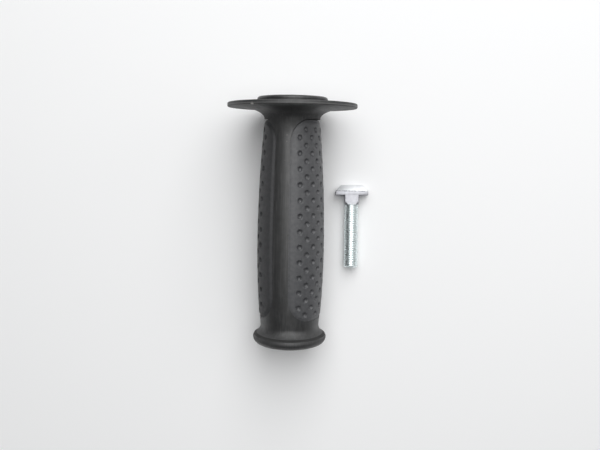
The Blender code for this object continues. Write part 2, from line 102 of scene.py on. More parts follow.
POMMEL_RADIUS = 0.01947
POMMEL_EDGE = 0.0036
POMMEL_END_STATION = 0.12487
POMMEL_DOME = 0.0003
RING_GROOVE_WIDTH = 0.0009
RING_GROOVE_DEPTH = 0.00035

# Holes in the moulding, and how far their cutters reach past its surface
INSERT_SIDES = 6
INSERT_ACROSS_FLATS = 0.013
INSERT_LENGTH = 0.0125
INSERT_GAP = 0.0003
INSERT_BELOW_FACE = 0.0003
CORE_BORE_RADIUS = 0.0043
CORE_BORE_END_STATION = 0.028
CUT_PAST = 0.002

# Pads: the gap is the pocket's growth, and each pad's own growth is that of its outline
PAD_GAP = 0.0003
PAD_GROWTH = 0.00028
PAD_TOP_GROWTH = -0.00035
PAD_TOP_STATION = FLANGE_THICKNESS / 2 + FLANGE_FILLET + PAD_GAP
PAD_TOP_RADIUS = 0.0143
PAD_BELLY_RADIUS = 0.01755
PAD_END_STATION = WAIST_STATION - 0.0076
PAD_END_RADIUS = 0.01615
PAD_EDGE_ANGLE = math.radians(-2.0)
PAD_SPREAD = math.radians(150.5)
PAD_CORNER = 0.012
PAD_THICKNESS = 0.0018
PAD_DEPTH = 0.0014

# Fall of a pad's face toward its first long edge and toward its second one
NEAR_DROP = 0.00012
NEAR_WIDTH = 0.0012
FAR_DROP = 0.0009
FAR_WIDTH = 0.0028

# Dimples
DIMPLE_RADIUS = 0.00145
DIMPLE_DEPTH = 0.00105
DIMPLE_FLATNESS = 3.2
DIMPLE_COLUMNS = 9
DIMPLE_FIRST_ANGLE = math.radians(18.0)
DIMPLE_COLUMN_ANGLE = math.radians(12.75)
DIMPLE_FIRST_STATION = PAD_TOP_STATION + 0.00515
DIMPLE_LAST_STATION = PAD_END_STATION - 0.003
DIMPLE_PITCH = 0.00787

# Bolt
SEAT_FROM_AXIS = 0.0065
HEAD_LENGTH = 0.018
HEAD_WIDTH = 0.008
HEAD_SLAB = 0.0022
HEAD_ROOF = 0.0034
ROOF_LENGTH = 0.0121
ROOF_WIDTH = 0.0042
HEAD_EDGE = 0.0003
NECK_WIDTH = 0.008
NECK_LENGTH = 0.0051
NECK_CORNER_RADIUS = 0.0054
NECK_END_RADIUS = 0.0046
NECK_TAPER = 0.0014
SHANK_RADIUS = 0.00395
SHANK_LENGTH = 0.035
THREAD_PITCH = 0.00125
THREAD_DEPTH = 0.00036
THREAD_ROOT_SHARE = 0.2
THREAD_FLANK_SHARE = 0.55
THREAD_START = 0.0016
THREAD_INTO_NECK = 0.0004
UNDERCUT = 0.0004
END_CHAMFER = 0.0009
# Width of the painted shade line round the head where the roof meets the slab
EDGE_SHADE_WIDTH = 0.0004

# Marks on the moulding: station, angle and radius about the handle's axis
NICK = (0.0009, math.radians(-34.5), 0.0332)
PIT = (0.0652, math.radians(-3.6), 0.0172)
SPECKS = (
    (0.0152, math.radians(-9.0), 0.0149),
    (0.0184, math.radians(-9.0), 0.0151),
    (0.0277, math.radians(-12.0), 0.0156),
)
NICK_SIZE = 0.0011
PIT_SIZE = 0.0007
SPECK_SIZE = 0.0004
MARK_SOFTNESS = 0.4

# Coloured bands round the moulding: first and last station, and softness; the rim's pale line is a
# painted highlight and the ring groove's dark line is painted shade
PAINTED_RIM_HIGHLIGHT = (0.00015, 0.0005, 0.00008)
# Painted shade in the ring groove under the pommel's lip
PAINTED_GROOVE_SHADE = (0.1192, 0.1201, 0.0001)

# Dull bands round it: first and last station, the softness of each end, and added roughness
DULL_BANDS = (
    (-0.0012, 0.0013, 0.0002, 0.0002, 0.12),
    (0.0038, 0.0105, 0.001, 0.005, 0.35),
    (0.1165, 0.1192, 0.001, 0.0003, 0.14),
    (0.1192, 0.1201, 0.0001, 0.0001, 0.4),
    (0.1201, 0.1225, 0.0001, 0.0005, 0.16),
)

# Nylon, its marks and its bands; the groove's dark band is painted shade and the rim's pale band a
# painted highlight
NYLON_BASE = (0.018, 0.0185, 0.019)
NYLON_TINTS = ((0.012, 0.0125, 0.013), (0.019, 0.0195, 0.020))
STREAK_COLOUR = (0.085, 0.086, 0.087)
STREAK_STRETCH = (1.0, 1.0, 40.0)
SPECK_COLOUR = (0.12, 0.115, 0.11)
NICK_COLOUR = (0.38, 0.37, 0.35)
# The pit's colour is painted shade, near black
PIT_SHADE_COLOUR = (0.004, 0.004, 0.004)
PAINTED_RIM_HIGHLIGHT_COLOUR = (0.095, 0.0955, 0.096)
PAINTED_GROOVE_SHADE_COLOUR = (0.003, 0.003, 0.003)

# Rubber: dark and light tint, then shade, gloss and roughness of the two pads; both pads are one rubber,
# the right one painted lighter as painted light and the left one painted darker as painted shade
RUBBER_TINTS = ((0.039, 0.040, 0.043), (0.052, 0.053, 0.056))
LIT_RIGHT_RUBBER = (1.35, 0.75, 0.5)
SHADED_LEFT_RUBBER = (0.75, 0.6, 0.6)

# Zinc and steel: dark and light tint of each part; the head's dark tints are painted shade, the roof's
# light tints a painted highlight, and a painted shade line runs where they meet
ZINC_BASE = (0.64, 0.70, 0.72)
SHANK_TINTS = ((0.80, 0.88, 0.88), (0.86, 0.92, 0.93))
SHADED_HEAD_TINTS = ((0.38, 0.385, 0.41), (0.43, 0.435, 0.46))
LIT_ROOF_TINTS = ((0.84, 0.86, 0.88), (0.92, 0.94, 0.96))
EDGE_SHADE_COLOUR = (0.16, 0.165, 0.18)
STEEL_BASE = (0.45, 0.44, 0.42)
STEEL_TINTS = ((0.38, 0.37, 0.35), (0.50, 0.49, 0.47))

# Fineness
SMOOTH_ANGLE = math.radians(40.0)
BODY_SMOOTH_ANGLE = math.radians(32.0)
BOLT_SMOOTH_ANGLE = math.radians(35.0)
BODY_SIDES = 240
BORE_SIDES = 64
ARC_STEPS = 8
ROOT_STEPS = 28
BARREL_STEPS = 36
BARREL_CROWDING = 1.5
GRID_STEP = 0.00027
POCKET_STEP = 0.002
POCKET_COLUMNS = 60
CORNER_ROWS = 56
UNDERSIDE_STEP = 10
THREAD_SIDES = 56
THREAD_STEPS = 12
EDGE_SEGMENTS = 3
NECK_SIDES = 64
NECK_RINGS = 8


def mount(name):
    return next(each for each in frame["record"]["mounts"] if each["name"] == name)


def around_axis(angle, radius, station):
    """A point of the handle in its own frame, whose Z runs along the axis toward the flange."""
    return Vector((radius * math.sin(angle), -radius * math.cos(angle), -station))


def turned_frame(along, across):
    """A frame whose Z runs along one direction and whose X runs across it."""
    return Matrix((across, along.cross(across), along)).transposed().to_4x4()


def handle_frame():
    """The handle's frame, worked out from the seat face on its boss."""
    seat = mount("seat_face")
    axis = Vector(seat["axis"])
    turned = turned_frame(axis, Vector((axis.y, -axis.x, 0.0)).normalized())
    seat_point = around_axis(0.0, SEAT_POINT_RADIUS, -FLANGE_THICKNESS / 2 - BOSS_HEIGHT)
    return Matrix.Translation(Vector(seat["pos_m"]) - turned.to_3x3() @ seat_point) @ turned


def bolt_frame():
    """The bolt's frame, worked out from the underside of its head; Z runs toward the roof."""
    seat = mount("bolt_head_seat")
    along = -Vector(seat["axis"])
    across = Vector((along.y, -along.x, 0.0)).normalized()
    middle = Vector(seat["pos_m"]) - across * SEAT_FROM_AXIS
    return Matrix.Translation(middle) @ turned_frame(along, across)


# Studio


def make_camera():
    data = bpy.data.cameras.new("photo_camera")
    data.lens = CAMERA_LENS
    data.sensor_width = SENSOR_WIDTH
    camera = bpy.data.objects.new("photo_camera", data)
    camera.location = CAMERA_PLACE
    bpy.context.scene.collection.objects.link(camera)
    bpy.context.scene.camera = camera


def add_softbox(name, direction, size, radiance):
    """An oval lamp that faces the middle of the table and looks equally bright at any size."""
    data = bpy.data.lights.new(name, "AREA")
    data.shape = "ELLIPSE"
    data.size, data.size_y = size
    data.energy = radiance * math.pi * math.pi * size[0] * size[1] / 4
    light = bpy.data.objects.new(name, data)
    place = Vector(direction).normalized() * LIGHT_DISTANCE
    light.location = place
    light.rotation_euler = (-place).to_track_quat("-Z", "Y").to_euler()
    bpy.context.scene.collection.objects.link(light)


def make_lights():
    add_softbox("overhead", OVERHEAD_DIRECTION, OVERHEAD_SIZE, OVERHEAD_RADIANCE)
    add_softbox("side", SIDE_DIRECTION, SIDE_SIZE, SIDE_RADIANCE)
    add_softbox("back", BACK_DIRECTION, BACK_SIZE, BACK_RADIANCE)


def make_surround():
    world = bpy.data.worlds.new("studio")
    bpy.context.scene.world = world
    world.use_nodes = True
    background = world.node_tree.nodes["Background"]
    background.inputs["Color"].default_value = (1.0, 1.0, 1.0, 1.0)
    background.inputs["Strength"].default_value = SURROUND_STRENGTH


def make_table():
    half = TABLE_HALF_WIDTH
    mesh = bpy.data.meshes.new("table")
    corners = [(-half, -half, 0.0), (half, -half, 0.0), (half, half, 0.0), (-half, half, 0.0)]
    mesh.from_pydata(corners, [], [(0, 1, 2, 3)])
    mesh.materials.append(make_material("table_paper", TABLE_COLOUR, 0.9))
    table = bpy.data.objects.new("table", mesh)
    bpy.context.scene.collection.objects.link(table)


# Materials


def make_material(name, colour, roughness, metallic=0.0, specular=0.5):
    material = bpy.data.materials.new(name)
    material.use_nodes = True
    shader = material.node_tree.nodes["Principled BSDF"]
    shader.inputs["Base Color"].default_value = (*colour, 1.0)
    shader.inputs["Roughness"].default_value = roughness
    shader.inputs["Metallic"].default_value = metallic
    shader.inputs["Specular IOR Level"].default_value = specular
    return material


class Surface:
    """Short ways to wire the nodes of one material."""

    def __init__(self, material):
        self.tree = material.node_tree
        self.shader = self.tree.nodes["Principled BSDF"]
        self.place = self.tree.nodes.new("ShaderNodeTexCoord").outputs["Object"]

    def set(self, socket, value):
        self.tree.links.new(value, self.shader.inputs[socket])

    def noise(self, scale, detail=3.0, stretch=(1.0, 1.0, 1.0), turned=None):
        """Noise whose grains are about 1 / scale metres wide, drawn out along an axis by stretch."""
        mapping = self.tree.nodes.new("ShaderNodeMapping")
        mapping.vector_type = "TEXTURE"
        mapping.inputs["Scale"].default_value = [each / scale for each in stretch]
        if turned:
            mapping.inputs["Rotation"].default_value = turned.to_euler()
        self.tree.links.new(self.place, mapping.inputs["Vector"])
        texture = self.tree.nodes.new("ShaderNodeTexNoise")
        texture.inputs["Scale"].default_value = 1.0
        texture.inputs["Detail"].default_value = detail
        self.tree.links.new(mapping.outputs["Vector"], texture.inputs["Vector"])
        return texture.outputs["Fac"]

    def spread(self, source, low, high, start=0.35, end=0.65):
        """Map a range of the source onto another range, held at both its ends."""
        node = self.tree.nodes.new("ShaderNodeMapRange")
        node.inputs["From Min"].default_value = start
        node.inputs["From Max"].default_value = end
        node.inputs["To Min"].default_value = low
        node.inputs["To Max"].default_value = high
        self.tree.links.new(source, node.inputs["Value"])
        return node.outputs["Result"]

    def blend(self, share, first, second):
        """Mix two colours, each a plain colour or another node's output."""
        node = self.tree.nodes.new("ShaderNodeMix")
        node.data_type = "RGBA"
        self.tree.links.new(share, node.inputs["Factor"])
        for socket, colour in ((node.inputs["A"], first), (node.inputs["B"], second)):
            if isinstance(colour, tuple):
                socket.default_value = (*colour, 1.0)
            else:
                self.tree.links.new(colour, socket)
        return node.outputs["Result"]

    def spot(self, centre, radius, softness=0.5):
        """1 inside a small ball about a point of the object, 0 outside it."""
        offset = self.tree.nodes.new("ShaderNodeVectorMath")
        offset.operation = "DISTANCE"
        offset.inputs[1].default_value = centre
        self.tree.links.new(self.place, offset.inputs[0])
        return self.spread(offset.outputs["Value"], 1.0, 0.0, radius * softness, radius)

    def beyond(self, place, height, softness):
        """0 below a height along the Z axis of a frame, 1 above it."""
        axis = place.to_3x3() @ Vector((0.0, 0.0, 1.0))
        along = self.tree.nodes.new("ShaderNodeVectorMath")
        along.operation = "DOT_PRODUCT"
        along.inputs[1].default_value = axis
        self.tree.links.new(self.place, along.inputs[0])
        level = axis.dot(place.translation) + height
        return self.spread(along.outputs["Value"], 0.0, 1.0, level - softness, level + softness)

    def band(self, place, start, end, start_softness, end_softness):
        """1 between two stations along a frame's axis, 0 elsewhere."""
        before_end = self.beyond(place, -end, end_softness)
        return self.combine("SUBTRACT", before_end, self.beyond(place, -start, start_softness))

    def combine(self, operation, first, second):
        node = self.tree.nodes.new("ShaderNodeMath")
        node.operation = operation
        for socket, value in zip(node.inputs, (first, second)):
            if isinstance(value, float):
                socket.default_value = value
            else:
                self.tree.links.new(value, socket)
        return node.outputs["Value"]

    def bump(self, height, distance, strength):
        node = self.tree.nodes.new("ShaderNodeBump")
        node.inputs["Strength"].default_value = strength
        node.inputs["Distance"].default_value = distance
        self.tree.links.new(height, node.inputs["Height"])
        self.set("Normal", node.outputs["Normal"])


def moulded_nylon(place):
    """Dark moulded nylon: satin grain, faint flow streaks along the barrel, a nick, specks, a pit
    painted near black as painted shade, a painted highlight line round the rim and painted shade in the
    ring groove.
    """
    material = make_material("nylon_finish", NYLON_BASE, roughness=0.46, specular=1.0)
    surface = Surface(material)
    mottle = surface.spread(surface.noise(scale=420.0), 0.0, 1.0)
    colour = surface.blend(mottle, *NYLON_TINTS)
    streaks = surface.noise(scale=1400.0, detail=2.0, stretch=STREAK_STRETCH, turned=place)
    strength = surface.spread(streaks, low=0.0, high=0.35, start=0.5, end=0.75)
    colour = surface.blend(strength, colour, STREAK_COLOUR)
    for station, angle, radius in SPECKS:
        speck = surface.spot(place @ around_axis(angle, radius, station), SPECK_SIZE)
        colour = surface.blend(speck, colour, SPECK_COLOUR)
    # The nick is a pale mark; the pit is a spot of painted shade
    for mark, size, tint in ((NICK, NICK_SIZE, NICK_COLOUR), (PIT, PIT_SIZE, PIT_SHADE_COLOUR)):
        station, angle, radius = mark
        spot = surface.spot(place @ around_axis(angle, radius, station), size, MARK_SOFTNESS)
        colour = surface.blend(spot, colour, tint)
    # A painted highlight line along the flange's rim, and painted shade in the pommel's ring groove
    for line, tint in ((PAINTED_RIM_HIGHLIGHT, PAINTED_RIM_HIGHLIGHT_COLOUR), (PAINTED_GROOVE_SHADE, PAINTED_GROOVE_SHADE_COLOUR)):
        start, end, softness = line
        colour = surface.blend(surface.band(place, start, end, softness, softness), colour, tint)
    surface.set("Base Color", colour)
    satin = surface.spread(surface.noise(scale=300.0), low=0.42, high=0.5)
    for start, end, start_softness, end_softness, dullness in DULL_BANDS:
        band = surface.band(place, start, end, start_softness, end_softness)
        satin = surface.combine("ADD", satin, surface.combine("MULTIPLY", band, dullness))
    surface.set("Roughness", satin)
    grain = surface.noise(scale=5200.0, detail=2.0)
    grain = surface.combine("ADD", grain, surface.combine("MULTIPLY", streaks, 1.2))
    surface.bump(grain, distance=0.00004, strength=0.5)
    return material


def soft_rubber(name, shade, gloss, roughness):
    """Soft grip rubber: matte, a little lighter than the nylon, with a fine open grain."""
    # The shade factor paints light onto the right pad and shade onto the left one
    dark, light = [tuple(shade * each for each in tint) for tint in RUBBER_TINTS]
    material = make_material(name, light, roughness, specular=gloss)
    surface = Surface(material)
    mottle = surface.spread(surface.noise(scale=650.0), 0.0, 1.0)
    surface.set("Base Color", surface.blend(mottle, dark, light))
    matte = surface.spread(surface.noise(scale=400.0), roughness - 0.04, roughness + 0.04)
    surface.set("Roughness", matte)
    surface.bump(surface.noise(scale=6000.0, detail=2.0), distance=0.00005, strength=0.6)
    return material


def zinc_plate(place):
    """Zinc plating with a blue-green cast and soft stains; the head is a little rougher than the shank,
    and its slab and neck are painted darker than its roof, painted shade and painted highlight on one
    plating.
    """
    material = make_material("zinc_finish", ZINC_BASE, roughness=0.3, metallic=1.0)
    surface = Surface(material)
    stain = surface.spread(surface.noise(scale=420.0), 0.0, 1.0)
    shank = surface.blend(stain, *SHANK_TINTS)
    # The head's dark tint is painted shade and the roof's light tint a painted highlight
    head = surface.blend(stain, *SHADED_HEAD_TINTS)
    roof = surface.blend(stain, *LIT_ROOF_TINTS)
    on_head = surface.beyond(place, -NECK_LENGTH, 0.0004)
    on_roof = surface.beyond(place, HEAD_SLAB, 0.0002)
    colour = surface.blend(on_roof, surface.blend(on_head, shank, head), roof)
    # A broken dark line of painted shade and painted dark reflection round the head, where the roof
    # meets the slab
    above = surface.beyond(place, HEAD_SLAB + EDGE_SHADE_WIDTH, EDGE_SHADE_WIDTH / 2)
    below = surface.beyond(place, HEAD_SLAB - EDGE_SHADE_WIDTH / 2, EDGE_SHADE_WIDTH / 2)
    broken = surface.spread(surface.noise(scale=1500.0, detail=1.0), 0.35, 1.0, start=0.4, end=0.6)
    edge_shade = surface.combine("MULTIPLY", surface.combine("SUBTRACT", below, above), broken)
    surface.set("Base Color", surface.blend(edge_shade, colour, EDGE_SHADE_COLOUR))
    rough = surface.spread(surface.noise(scale=1100.0), low=0.36, high=0.46)
    surface.set("Roughness", surface.combine("ADD", rough, surface.combine("MULTIPLY", on_head, 0.06)))
    surface.bump(surface.noise(scale=3200.0, detail=2.0), distance=0.00002, strength=0.2)
    return material


def plain_steel():
    """Turned steel of the insert, with faint tool marks."""
    material = make_material("steel_finish", STEEL_BASE, roughness=0.4, metallic=1.0)
    surface = Surface(material)
    wear = surface.spread(surface.noise(scale=900.0), 0.0, 1.0)
    surface.set("Base Color", surface.blend(wear, *STEEL_TINTS))
    surface.set("Roughness", surface.spread(surface.noise(scale=1500.0), low=0.32, high=0.5))
    surface.bump(surface.noise(scale=4200.0, detail=2.0), distance=0.00002, strength=0.4)
    return material


# Meshes


def finish_mesh(bm, name, matrix, smooth_angle=SMOOTH_ANGLE, merge_distance=MERGE_DISTANCE):
    """Merge a piece's doubled points, turn it into the row's frame and shade it."""
    bmesh.ops.remove_doubles(bm, verts=bm.verts, dist=merge_distance)
    bmesh.ops.recalc_face_normals(bm, faces=bm.faces)
    mesh = bpy.data.meshes.new(name)
    bm.to_mesh(mesh)
    bm.free()
    mesh.transform(matrix)
    mesh.shade_smooth()
    mesh.set_sharp_from_angle(angle=smooth_angle)
    return mesh


def place_piece(name, mesh, node, material):
    """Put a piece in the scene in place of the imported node."""
    mesh.materials.append(material)
    piece = bpy.data.objects.new(name, mesh)
    bpy.context.scene.collection.objects.link(piece)
    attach(piece, "root")
    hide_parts(node)


def bulge(station, belly_radius, end_station, end_radius):
    """Radius on a curve that falls from the belly to a smaller radius at an end station."""
    share = (station - BELLY_STATION) / (end_station - BELLY_STATION)
    return belly_radius - (belly_radius - end_radius) * share**2


# Pads


def pad_radius(station):
    if station < BELLY_STATION:
        return bulge(station, PAD_BELLY_RADIUS, PAD_TOP_STATION, PAD_TOP_RADIUS)
    return bulge(station, PAD_BELLY_RADIUS, PAD_END_STATION, PAD_END_RADIUS)


def pad_limits(side_growth, top_growth):
    """Lowest and highest arc length and station of a flat pad that is grown, and its corners' radius."""
    low = Vector((-side_growth, PAD_TOP_STATION - top_growth))
    high = Vector((PAD_SPREAD * PAD_BELLY_RADIUS + side_growth, PAD_END_STATION + side_growth))
    return low, high, PAD_CORNER + side_growth


def edge_distance(limits, x, station):
    """Distance from a flat point of the pad to its rounded outline."""
    low, high, corner = limits
    beyond_x = abs(x - (low.x + high.x) / 2) - (high.x - low.x) / 2 + corner
    beyond_y = abs(station - (low.y + high.y) / 2) - (high.y - low.y) / 2 + corner
    outside = math.hypot(max(beyond_x, 0.0), max(beyond_y, 0.0))
    return corner - outside - min(max(beyond_x, beyond_y), 0.0)


def edge_drop(limits, x, station):
    """How far the pad falls toward its outline: to the moulding at one edge, further at the other."""
    low, high, _ = limits
    across = min(max((x - low.x) / (high.x - low.x), 0.0), 1.0)
    drop = NEAR_DROP + (FAR_DROP - NEAR_DROP) * across
    width = NEAR_WIDTH + (FAR_WIDTH - NEAR_WIDTH) * across
    fall = 1.0 - min(max(edge_distance(limits, x, station), 0.0) / width, 1.0)
    return drop * fall**2 * (3.0 - 2.0 * fall)


def dimple_drop(x, station):
    """Depth of the pad's face at a flat point, in the bowl of the dimple nearest to it."""
    column = round((x / PAD_BELLY_RADIUS - DIMPLE_FIRST_ANGLE) / DIMPLE_COLUMN_ANGLE)
    column = min(max(column, 0), DIMPLE_COLUMNS - 1)
    first = DIMPLE_FIRST_STATION + (DIMPLE_PITCH / 2 if column % 2 == 0 else 0.0)
    last_row = int((DIMPLE_LAST_STATION - first) / DIMPLE_PITCH)
    row = min(max(round((station - first) / DIMPLE_PITCH), 0), last_row)
    centre_x = (DIMPLE_FIRST_ANGLE + column * DIMPLE_COLUMN_ANGLE) * PAD_BELLY_RADIUS
    away = math.hypot(x - centre_x, station - first - row * DIMPLE_PITCH)
    return DIMPLE_DEPTH * max(1.0 - (away / DIMPLE_RADIUS) ** DIMPLE_FLATNESS, 0.0)


def sheet_stations(limits, step):
    """Rows of a sheet's grid, closer together toward its ends, where its outline turns."""
    low, high, corner = limits
    bend = [corner * (1 - math.cos(math.pi / 2 * row / CORNER_ROWS)) for row in range(CORNER_ROWS)]
    straight = high.y - low.y - 2 * corner
    rows = int(straight / step)
    middle = [low.y + corner + straight * row / rows for row in range(rows + 1)]
    return [low.y + each for each in bend] + middle + [high.y - each for each in reversed(bend)]


def row_ends(limits, station):
    """Arc lengths at which a row of a sheet's grid meets the rounded outline."""
    low, high, corner = limits
    into_corner = max(corner - min(station - low.y, high.y - station), 0.0)
    inset = corner - math.sqrt(max(corner**2 - into_corner**2, 0.0))
    return low.x + inset, high.x - inset


def pad_point(x, station, drop):
    return around_axis(PAD_EDGE_ANGLE + x / PAD_BELLY_RADIUS, pad_radius(station) - drop, station)


def roll_sheet(limits, step, columns, under_step, outer_drop, inner_drop):
    """A closed sheet over a rounded outline, rolled round the barrel, its inner side a coarser grid."""
    bm = bmesh.new()
    upper, under = [], []
    for station in sheet_stations(limits, step):
        left, right = row_ends(limits, station)
        across = [left + (right - left) * column / columns for column in range(columns + 1)]
        upper.append([bm.verts.new(pad_point(x, station, outer_drop(x, station))) for x in across])
        under.append([bm.verts.new(pad_point(x, station, inner_drop)) for x in across[::under_step]])
    for first, second in zip(upper, upper[1:]):
        for column in range(columns):
            bm.faces.new((first[column], first[column + 1], second[column + 1], second[column]))
    for first, second in zip(under, under[1:]):
        for column in range(len(first) - 1):
            bm.faces.new((first[column + 1], first[column], second[column], second[column + 1]))
    for row in range(len(upper) - 1):
        for end in (0, -1):
            bm.faces.new((upper[row][end], upper[row + 1][end], under[row + 1][end], under[row][end]))
    for row in (0, -1):
        for column in range(len(under[row]) - 1):
            along = upper[row][column * under_step : (column + 1) * under_step + 1]
            bm.faces.new(along + [under[row][column + 1], under[row][column]])
    return bm


def make_pad(matrix):
    """A soft pad that all but fills its pocket, its edges eased and its face dimpled."""
    limits = pad_limits(PAD_GROWTH, PAD_TOP_GROWTH)
    columns = UNDERSIDE_STEP * int((limits[1].x - limits[0].x) / GRID_STEP / UNDERSIDE_STEP)

    def drop(x, station):
        return edge_drop(limits, x, station) + dimple_drop(x, station)

    bm = roll_sheet(limits, GRID_STEP, columns, UNDERSIDE_STEP, drop, PAD_DEPTH)
    return finish_mesh(bm, "dimpled_pad", matrix)


# Moulding


def arc(centre, radius, start, end, steps=ARC_STEPS):
    """Points on an arc in the (radius, station) plane, with its angles from the radial direction."""
    turns = [start + (end - start) * step / steps for step in range(steps + 1)]
    return [(centre[0] + radius * math.cos(turn), centre[1] + radius * math.sin(turn)) for turn in turns]


def fillet(before, corner, after, radius, steps=ARC_STEPS):
    """Points that round the corner between two straight runs of an outline."""
    corner = Vector(corner)
    toward_before = (Vector(before) - corner).normalized()
    toward_after = (Vector(after) - corner).normalized()
    half_angle = toward_before.angle(toward_after) / 2
    centre = corner + (toward_before + toward_after).normalized() * radius / math.sin(half_angle)
    first = (corner + toward_before * radius / math.tan(half_angle) - centre).normalized()
    last = (corner + toward_after * radius / math.tan(half_angle) - centre).normalized()
    full_turn = first.angle(last)
    points = []
    for step in range(steps + 1):
        share = step / steps
        spoke = first * math.sin((1 - share) * full_turn) + last * math.sin(share * full_turn)
        points.append(tuple(centre + spoke / math.sin(full_turn) * radius))
    return points


def boss_face():
    return -FLANGE_THICKNESS / 2 - BOSS_HEIGHT


def boss_outline():
    """Flat face, rounded chamfer, two fine grooves, and the corner where the boss meets the flange."""
    face, back = boss_face(), -FLANGE_THICKNESS / 2
    inner, outer = (BOSS_RADIUS - BOSS_CHAMFER, face), (BOSS_RADIUS, face + BOSS_CHAMFER)
    points = [(0.0, face), (INSERT_ACROSS_FLATS, face)]
    points += fillet((0.0, face), inner, outer, BOSS_CHAMFER_ROUNDING)
    points += fillet(inner, outer, (BOSS_RADIUS, back), BOSS_CHAMFER_ROUNDING)
    for from_face, width, depth in BOSS_GROOVES:
        middle = face + from_face
        points += [(BOSS_RADIUS, middle - width / 2), (BOSS_RADIUS - depth, middle - width / 6)]
        points += [(BOSS_RADIUS - depth, middle + width / 6), (BOSS_RADIUS, middle + width / 2)]
    return points + [(BOSS_RADIUS, back)]


def neck_station():
    return FLANGE_THICKNESS / 2 + FLANGE_FILLET


def upper_radius(station):
    """Radius above the belly: the flange's hollow root runs smoothly over into the barrel."""
    to_neck = min(max((neck_station() - station) / FLANGE_FILLET, 0.0), 1.0)
    root = FLANGE_ROOT_RADIUS - (FLANGE_ROOT_RADIUS - NECK_RADIUS) * math.sqrt(1 - to_neck**2)
    barrel = bulge(station, BODY_BELLY_RADIUS, neck_station(), NECK_RADIUS)
    return (root + barrel + math.hypot(root - barrel, NECK_BLEND)) / 2


def lower_radius(station):
    return bulge(station, BODY_BELLY_RADIUS, WAIST_STATION, WAIST_RADIUS)


def flange_outline():
    """Rim with rounded edges and a fine parting ridge, and the hollow root as far as the neck."""
    edge = FLANGE_THICKNESS / 2 - FLANGE_EDGE
    points = arc((FLANGE_RADIUS - FLANGE_EDGE, -edge), FLANGE_EDGE, -math.pi / 2, 0.0)
    points.append((FLANGE_RADIUS, RIM_RIDGE_STATION - RIM_RIDGE_HALF_WIDTH))
    points.append((FLANGE_RADIUS + RIM_RIDGE_HEIGHT, RIM_RIDGE_STATION))
    points.append((FLANGE_RADIUS, RIM_RIDGE_STATION + RIM_RIDGE_HALF_WIDTH))
    points += arc((FLANGE_RADIUS - FLANGE_EDGE, edge), FLANGE_EDGE, 0.0, math.pi / 2)
    turns = [math.pi / 2 * step / ROOT_STEPS for step in range(ROOT_STEPS)]
    stations = [neck_station() - FLANGE_FILLET * math.cos(turn) for turn in turns]
    return points + [(upper_radius(station), station) for station in stations]


def barrel_outline(last_station):
    """The belly, from the neck to where the waist's curve starts, its points closer at the neck."""
    first = neck_station()
    shares = [step / BARREL_STEPS for step in range(BARREL_STEPS)]
    stations = [first + (BELLY_STATION - first) * each**BARREL_CROWDING for each in shares]
    points = [(upper_radius(station), station) for station in stations]
    for each in shares:
        station = BELLY_STATION + (last_station - BELLY_STATION) * each
        points.append((lower_radius(station), station))
    return points


def pommel_outline(waist):
    """Flare from the waist, a ring groove under its lip, a full round edge and a barely domed end."""
    radius, station = POMMEL_SHOULDER_RADIUS, POMMEL_SHOULDER_STATION
    slope = (radius - WAIST_RADIUS) / (station - WAIST_STATION)
    middle = radius - slope * RING_GROOVE_WIDTH / 2 - RING_GROOVE_DEPTH
    ring_start = (radius - slope * RING_GROOVE_WIDTH, station - RING_GROOVE_WIDTH)
    points = waist + [ring_start, (middle, station - RING_GROOVE_WIDTH / 2), (radius, station)]
    edge_centre = (POMMEL_RADIUS - POMMEL_EDGE, POMMEL_END_STATION - POMMEL_EDGE)
    points += arc(edge_centre, POMMEL_EDGE, 0.0, math.pi / 2, 2 * ARC_STEPS)
    return points + [(0.0, POMMEL_END_STATION + POMMEL_DOME)]


def body_outline():
    """Outline of the whole moulding as (radius, station), from the boss's face to the pommel's end."""
    corner = (WAIST_RADIUS, WAIST_STATION)
    above = WAIST_STATION - WAIST_FILLET
    shoulder = (POMMEL_SHOULDER_RADIUS, POMMEL_SHOULDER_STATION)
    waist = fillet((lower_radius(above), above), corner, shoulder, WAIST_FILLET, 2 * ARC_STEPS)
    return boss_outline() + flange_outline() + barrel_outline(waist[0][1]) + pommel_outline(waist)


def turn_outline(outline):
    """A closed solid turned about the handle's axis, its outline's two ends on the axis."""
    bm = bmesh.new()
    ends = [bm.verts.new(around_axis(0.0, 0.0, station)) for _, station in (outline[0], outline[-1])]
    angles = [2 * math.pi * side / BODY_SIDES for side in range(BODY_SIDES)]
    rings = []
    for radius, station in outline[1:-1]:
        rings.append([bm.verts.new(around_axis(angle, radius, station)) for angle in angles])
    for side in range(BODY_SIDES):
        after = (side + 1) % BODY_SIDES
        for first, second in zip(rings, rings[1:]):
            bm.faces.new((first[side], first[after], second[after], second[side]))
        bm.faces.new((ends[0], rings[0][after], rings[0][side]))
        bm.faces.new((ends[1], rings[-1][side], rings[-1][after]))
    return bm


def prism(sides, radius, top_station, bottom_station):
    """A straight prism about the handle's axis, between two stations."""
    bm = bmesh.new()
    middle = Matrix.Translation((0.0, 0.0, -(top_station + bottom_station) / 2))
    bmesh.ops.create_cone(
        bm,
        cap_ends=True,
        segments=sides,
        radius1=radius,
        radius2=radius,
        depth=bottom_station - top_station,
        matrix=middle,
    )
    return bm


def helper_object(bm, name):
    """A passing object that holds a mesh while solids are cut."""
    bmesh.ops.remove_doubles(bm, verts=bm.verts, dist=MERGE_DISTANCE)
    bmesh.ops.recalc_face_normals(bm, faces=bm.faces)
    mesh = bpy.data.meshes.new(name)
    bm.to_mesh(mesh)
    bm.free()
    helper = bpy.data.objects.new(name, mesh)
    bpy.context.scene.collection.objects.link(helper)
    return helper


